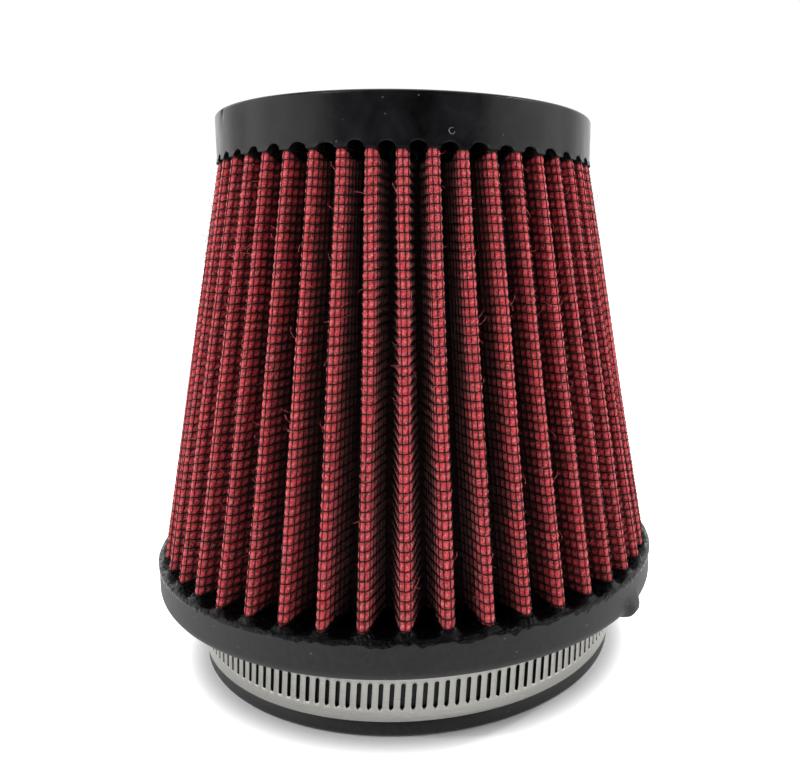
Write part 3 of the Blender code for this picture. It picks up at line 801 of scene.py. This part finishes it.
def make_ring_mark(material):
    """A broken ring about 1.6 mm across, left standing on the cap by the mould's vent."""
    centre_angle = math.radians(-90 + 11.1)
    centre_z = 0.1423
    surface_r = 0.05338
    bend = np.radians(np.linspace(60, 345, 19))
    angle = centre_angle + 0.00068 * np.cos(bend) / CAP_BOTTOM_R
    z = centre_z + 0.00072 * np.sin(bend)
    outward = np.stack((np.cos(angle), np.sin(angle), np.zeros(19)), axis=1)
    points = surface_r * outward
    points[:, 2] = z
    tangent = np.stack((-np.sin(angle), np.cos(angle), np.zeros(19)), axis=1)
    upwards = np.array((0.0, 0.0, 1.0))
    aside = np.cos(bend)[:, None] * tangent + np.sin(bend)[:, None] * upwards
    vertices, faces = wire_tubes(points[None], outward[None], aside[None], 0.00016, closed=False)
    add_piece("cap_vent_mark", vertices, faces, material, "filter")


def make_base(material):
    """The moulded base: a trough for the pack, a round-cornered flange, and the neck with its lip."""
    angle = np.linspace(0, math.tau, 432, endpoint=False)
    uneven = waves(8, 20, 150, 31)
    top = FLANGE_TOP_Z + 0.00006 * uneven(angle, 0.4)
    corner_z = FLANGE_UNDER_Z + FLANGE_CORNER_R
    profile = [
        (TROUGH_INNER_R, TROUGH_FLOOR_Z),
        (TROUGH_OUTER_R, TROUGH_FLOOR_Z),
        (TROUGH_OUTER_R, top - 0.0001),
        (TROUGH_OUTER_R + 0.0002, top),
        (0.0720, top),
        (0.07222, top - 0.0001),
        (0.0723, top - 0.0003),
    ]
    profile += [(FLANGE_R, z) for z in np.linspace(0.0288, corner_z, 9)[:-1]]
    profile += arc((FLANGE_R - FLANGE_CORNER_R, corner_z), FLANGE_CORNER_R, 0, -90, 9)
    profile += [(radius, FLANGE_UNDER_Z) for radius in (0.0670, 0.0640)]
    profile += arc((NECK_R + 0.0012, FLANGE_UNDER_Z - 0.0012), 0.0012, 90, 180, 5)
    profile += [(NECK_R, z) for z in (0.0165, 0.0130, 0.0090, 0.0060, LIP_TOP_Z + 0.0003)]
    profile.append((NECK_R + 0.0002, LIP_TOP_Z))
    profile += arc((LIP_R - 0.0012, 0.0012), 0.0012, 0, -90, 6)
    profile += [
        (NECK_BORE_R + 0.0006, 0.0),
        (NECK_BORE_R + 0.0001, 0.0003),
        (NECK_BORE_R, 0.0008),
        (NECK_BORE_R, 0.0090),
        (NECK_BORE_R, 0.0180),
        (NECK_BORE_R, TROUGH_INNER_TOP_Z - 0.0004),
        (NECK_BORE_R + 0.0004, TROUGH_INNER_TOP_Z),
        (TROUGH_INNER_R, TROUGH_INNER_TOP_Z),
    ]
    vertices, faces = turned_mesh(profile, angle)
    vertices = add_lump(vertices)
    name = "base_flange_rubber"
    add_piece(name, vertices, faces, material, "filter", ["base_flange"], 50)


def add_lump(vertices):
    """A lump of flash with a dent in it, on the right of the flange's lower edge."""
    angle = np.arctan2(vertices[:, 1], vertices[:, 0])
    radius = np.hypot(vertices[:, 0], vertices[:, 1])
    around = (angle - math.radians(-37.0)) * FLANGE_R
    z = vertices[:, 2]
    spot = np.exp(-((around / 0.0036) ** 4) - ((z - 0.0219) / 0.0030) ** 4)
    dent = np.exp(-(((around + 0.0032) / 0.0006) ** 2) - ((z - 0.0218) / 0.0012) ** 2)
    on_flange = radius > 0.0680
    push = np.where(on_flange, 0.0016 * spot - 0.0008 * dent, 0.0)
    return pushed_out(vertices, push, np.where(on_flange, -0.0010 * spot, 0.0))


# ---------------------------------------------------------------- hose clamp

STRIP_BEVEL = 0.00010
HOLE_BEVEL = 0.00007


def slot_ring(grow):
    """Outline of a slot with round ends, leaning to the right, from its left shoulder over the top."""
    radius = SLOT_WIDTH / 2 + grow
    straight = SLOT_LENGTH / 2 - SLOT_WIDTH / 2
    top = arc((0.0, straight), radius, 180, 0, 6)
    ring = top + [(radius, straight / 3), (radius, -straight / 3)]
    ring += [(-x, -y) for x, y in top] + [(-radius, -straight / 3), (-radius, straight / 3)]
    lean = math.tan(SLOT_LEAN)
    return [(x + y * lean, y) for x, y in ring]


def cell_ring():
    """The points of a cell's edge that match the slot's outline."""
    half = SLOT_PITCH / 2
    low = SLOT_LENGTH / 2 - SLOT_WIDTH / 2
    high = SLOT_LENGTH / 2 + 0.0009
    middle = (low + high) / 2
    top = [(-half, low), (-half, middle), (-half, high), (0.0, high)]
    top += [(half, high), (half, middle), (half, low)]
    ring = top + [(half, low / 3), (half, -low / 3)]
    return ring + [(-x, -y) for x, y in top] + [(-half, -low / 3), (-half, low / 3)]


def add_cell(bm, centre, slotted, place):
    """One pitch of the strip: both skins, its two edges and, if it has one, its slot."""
    half = SLOT_PITCH / 2
    outer = cell_ring()

    def vertex(x, y, depth):
        return bm.verts.new(place(centre + x, y, depth))

    def loft(first, second, closed, flip):
        count = len(first) if closed else len(first) - 1
        for i in range(count):
            j = (i + 1) % len(first)
            quad = (first[i], first[j], second[j], second[i])
            bm.faces.new(quad[::-1] if flip else quad)

    skins = []
    for depth, flip in ((0.0, False), (BAND_THICKNESS, True)):
        rim = [vertex(x, y, depth) for x, y in outer]
        if slotted:
            hole = [vertex(x, y, depth) for x, y in slot_ring(HOLE_BEVEL)]
            loft(rim, hole, True, not flip)
        else:
            hub = [vertex(x * 0.4, y * 0.8, depth) for x, y in outer]
            loft(rim, hub, True, not flip)
            bm.faces.new(hub[::-1] if not flip else hub)
            hole = None
        edges = []
        for sign, corner in ((1, rim[2:5]), (-1, rim[11:14][::-1])):
            before = corner
            for y in (0.0051, BAND_HALF - STRIP_BEVEL):
                after = [vertex(x, sign * y, depth) for x in (-half, 0.0, half)]
                loft(before, after, False, flip if sign > 0 else not flip)
                before = after
            edges.append(before)
        skins.append((hole, edges))
    for side, sign in ((0, 1), (1, -1)):
        before = skins[0][1][side]
        for depth in (STRIP_BEVEL, BAND_THICKNESS - STRIP_BEVEL):
            after = [vertex(x, sign * BAND_HALF, depth) for x in (-half, 0.0, half)]
            loft(before, after, False, sign < 0)
            before = after
        loft(before, skins[1][1][side], False, sign < 0)
    if slotted:
        before = skins[0][0]
        for depth in (HOLE_BEVEL, BAND_THICKNESS - HOLE_BEVEL):
            after = [vertex(x, y, depth) for x, y in slot_ring(0.0)]
            loft(before, after, True, True)
            before = after
        loft(before, skins[1][0], True, True)


def make_strip(name, cells, place, material, body, node):
    """A perforated strip from its cells' centres, counted along it, and whether each has a slot."""
    bm = bmesh.new()
    for centre, slotted in cells:
        add_cell(bm, centre, slotted, place)
    bmesh.ops.remove_doubles(bm, verts=bm.verts, dist=0.000002)
    ends = [edge for edge in bm.edges if edge.is_boundary]
    bmesh.ops.holes_fill(bm, edges=ends)
    bmesh.ops.recalc_face_normals(bm, faces=bm.faces)
    mesh = bpy.data.meshes.new(name)
    bm.to_mesh(mesh)
    bm.free()
    set_piece(name, mesh, material, body, [node], 50)


def make_band(material):
    """The slotted loop round the neck."""
    end = math.tau * BAND_INNER_R + LOOP_START - LOOP_GAP
    sweep = (end - LOOP_START) / BAND_INNER_R
    first_angle = math.pi / 2 - end / BAND_INNER_R
    per_metre = sweep / (LOOP_SLOTS * SLOT_PITCH)

    def place(along, y, depth):
        angle = first_angle + along * per_metre
        radius = BAND_INNER_R + BAND_THICKNESS - depth
        return (radius * math.cos(angle), radius * math.sin(angle), BAND_MID_Z + y)

    cells = [((number + 0.5) * SLOT_PITCH, True) for number in range(LOOP_SLOTS)]
    make_strip("clamp_band_strip", cells, place, material, "clamp", "clamp_band")


def make_tail(material):
    """The slotted free end, which climbs from the loop to the layer under the screw."""
    low = BAND_INNER_R + BAND_THICKNESS + 0.0003

    def place(along, y, depth):
        distance = -along  # counted towards the screw's head, so clockwise
        share = min(1.0, max(0.0, (distance - TAIL_START) / (TAIL_RAMP_END - TAIL_START)))
        radius = low + (TAIL_INNER_R - low) * share * share * (3 - 2 * share)
        angle = math.pi / 2 - distance / TAIL_INNER_R
        radius = radius + BAND_THICKNESS - depth
        return (radius * math.cos(angle), radius * math.sin(angle), BAND_MID_Z + y)

    cells = [(-number * SLOT_PITCH, -10 < number < 15) for number in range(-10, 17)]
    make_strip("band_tail_strip", cells, place, material, "tail", "band_tail")


# ---------------------------------------------------------------- floor, light and camera


def make_floor():
    """A plain white sweep under the filter."""
    mesh = bpy.data.meshes.new("floor")
    reach = 6.0
    level = -0.00002
    signs = ((-1, -1), (1, -1), (1, 1), (-1, 1))
    corners = [(x * reach, y * reach, level) for x, y in signs]
    mesh.from_pydata(corners, [], [(0, 1, 2, 3)])
    material, tree, shader, place = new_material("white paper floor", 0.75, 0.1)
    fibre = add_noise(tree, place, 1 / 900, 2.0)
    tree.links.new(mix_colours(tree, fibre, "#F4F4F4", "#FAFAFA"), shader.inputs["Base Color"])
    # The sweep glows, so that it stays white far away. Its glow fades out towards the neck, which paints
    # a shadow there that joins the real contact shadow.
    away = add_node(tree, "ShaderNodeVectorMath", {"operation": "LENGTH"}, {0: place})
    painted_shadow_fade = {"interpolation_type": "SMOOTHSTEP", "From Min": 0.0600, "From Max": 0.0720}
    glow = add_node(tree, "ShaderNodeMapRange", painted_shadow_fade, {"Value": away.outputs["Value"]}).outputs[0]
    # The filter itself hardly gets that glow, as light or as a reflection.
    ray = add_node(tree, "ShaderNodeLightPath")
    for kind, held in (("Is Diffuse Ray", 0.05), ("Is Glossy Ray", 0.25)):
        settings = {"data_type": "FLOAT", 3: held}
        glow = add_node(tree, "ShaderNodeMix", settings, {0: ray.outputs[kind], 2: glow}).outputs[0]
    shader.inputs["Emission Color"].default_value = (1.0, 1.0, 1.0, 1.0)
    tree.links.new(glow, shader.inputs["Emission Strength"])
    mesh.materials.append(material)
    floor = bpy.data.objects.new("floor", mesh)
    bpy.context.scene.collection.objects.link(floor)


def make_world():
    """A studio that lights the filter from behind, and that the camera sees as plain white."""
    world = bpy.data.worlds.new("studio")
    bpy.context.scene.world = world
    world.use_nodes = True
    tree = world.node_tree
    background = tree.nodes["Background"]
    place = add_node(tree, "ShaderNodeTexCoord")
    way = add_node(tree, "ShaderNodeSeparateXYZ", links={0: place.outputs["Generated"]})
    glow = add_range(tree, way.outputs["Y"], 0.0, 0.70, 0.0, 1.7)
    seen = add_node(tree, "ShaderNodeLightPath").outputs["Is Camera Ray"]
    white = {"data_type": "FLOAT", 3: 1.05}
    strength = add_node(tree, "ShaderNodeMix", white, {0: seen, 2: glow})
    background.inputs["Color"].default_value = (1.0, 1.0, 1.0, 1.0)
    tree.links.new(strength.outputs[0], background.inputs["Strength"])


def add_softbox(name, place, target, width, height, power):
    """A rectangular lamp of so many watts, aimed at the target."""
    light = bpy.data.lights.new(name, "AREA")
    light.shape = "RECTANGLE"
    light.size = width
    light.size_y = height
    light.energy = power
    lamp = bpy.data.objects.new(name, light)
    lamp.location = place
    aim = Vector(target) - Vector(place)
    lamp.rotation_euler = aim.to_track_quat("-Z", "Y").to_euler()
    bpy.context.scene.collection.objects.link(lamp)


def make_lights():
    middle = (0.0, 0.0, 0.08)
    add_softbox("left_softbox", (-0.71, -0.20, 0.34), middle, 0.80, 0.70, 5.0)
    add_softbox("right_softbox", (0.71, -0.20, 0.34), middle, 0.80, 0.70, 4.5)
    add_softbox("top_softbox", (0.0, 0.10, 0.80), middle, 0.60, 0.50, 2.0)
    # Two small lamps, too weak to light the filter, leave sharp glints on the wet-looking resin.
    add_softbox("left_glint", (-0.40, -0.35, 0.60), middle, 0.03, 0.03, 0.9)
    add_softbox("right_glint", (0.45, -0.10, 0.55), middle, 0.03, 0.03, 0.9)


def make_camera():
    """Close in front of the filter, three quarters of its height up and tilted down a little."""
    data = bpy.data.cameras.new("camera")
    data.sensor_width = 36.0
    data.lens = 34.8
    data.shift_x = -0.100
    data.shift_y = -0.074
    data.clip_start = 0.01
    camera = bpy.data.objects.new("camera", data)
    camera.location = (0.0, -0.2333, 0.1157)
    camera.rotation_euler = (math.radians(90 - 6.09), 0.0, math.radians(-5.28))
    bpy.context.scene.collection.objects.link(camera)
    bpy.context.scene.camera = camera


def set_view():
    view = bpy.context.scene.view_settings
    view.view_transform = "Standard"
    view.look = "None"


# ---------------------------------------------------------------- the whole filter


def finish_cad_node(node, material):
    """A carried-over CAD piece keeps its shape and takes one of the metals made here."""
    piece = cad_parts[node]
    piece.data.materials.clear()
    piece.data.materials.append(material)


def main():
    make_camera()
    make_world()
    make_lights()
    make_floor()
    set_view()

    cotton = oiled_cotton_gauze("oiled cotton gauze", "weave")
    wire = epoxy_coated_wire("epoxy coated wire")
    cap_rubber = moulded_rubber("moulded cap rubber", "#060607", "#1B1B1E", 0.29, 0.15, 9.0, 0.02)
    base_rubber = moulded_rubber("moulded base rubber", "#040405", "#1C1C1E", 0.48, 0.34, 1.4, 0.18)
    resin = potting_resin("potting resin")
    rolled = (0.004, 0.004, 0.0002)  # lines round the neck, 0.2 mm apart
    plated = (0.0006, 0.0006, 0.0006)
    stainless = bright_metal("rolled stainless strip", "#92908B", "#B8B7B2", 0.24, rolled)
    zinc = bright_metal("zinc plated steel", "#B4B6B8", "#CDD0D4", 0.30, plated)

    make_outer_ply(cotton)
    make_inner_ply(2, 0.00075, 12, cotton)
    make_inner_ply(3, 0.00105, 12, cotton)
    make_inner_ply(4, 0.00140, 40, cotton)
    make_screens(wire)
    make_stray_fibres(cotton)
    make_base_potting(resin)
    make_cap_potting(resin)
    make_cap(cap_rubber)
    # The vent mark is painted light grey, a painted highlight where its ring catches the light.
    make_ring_mark(moulded_rubber("painted highlight rubber", "#4A4A4B", "#9A9A9C", 0.40, 0.4, 0.8, 0.03))
    make_base(base_rubber)
    make_band(stainless)
    make_tail(stainless)
    for node in ("screw_housing", "housing_saddle"):
        finish_cad_node(node, stainless)
    for node in ("worm_screw", "seam_clip"):
        finish_cad_node(node, zinc)


main()
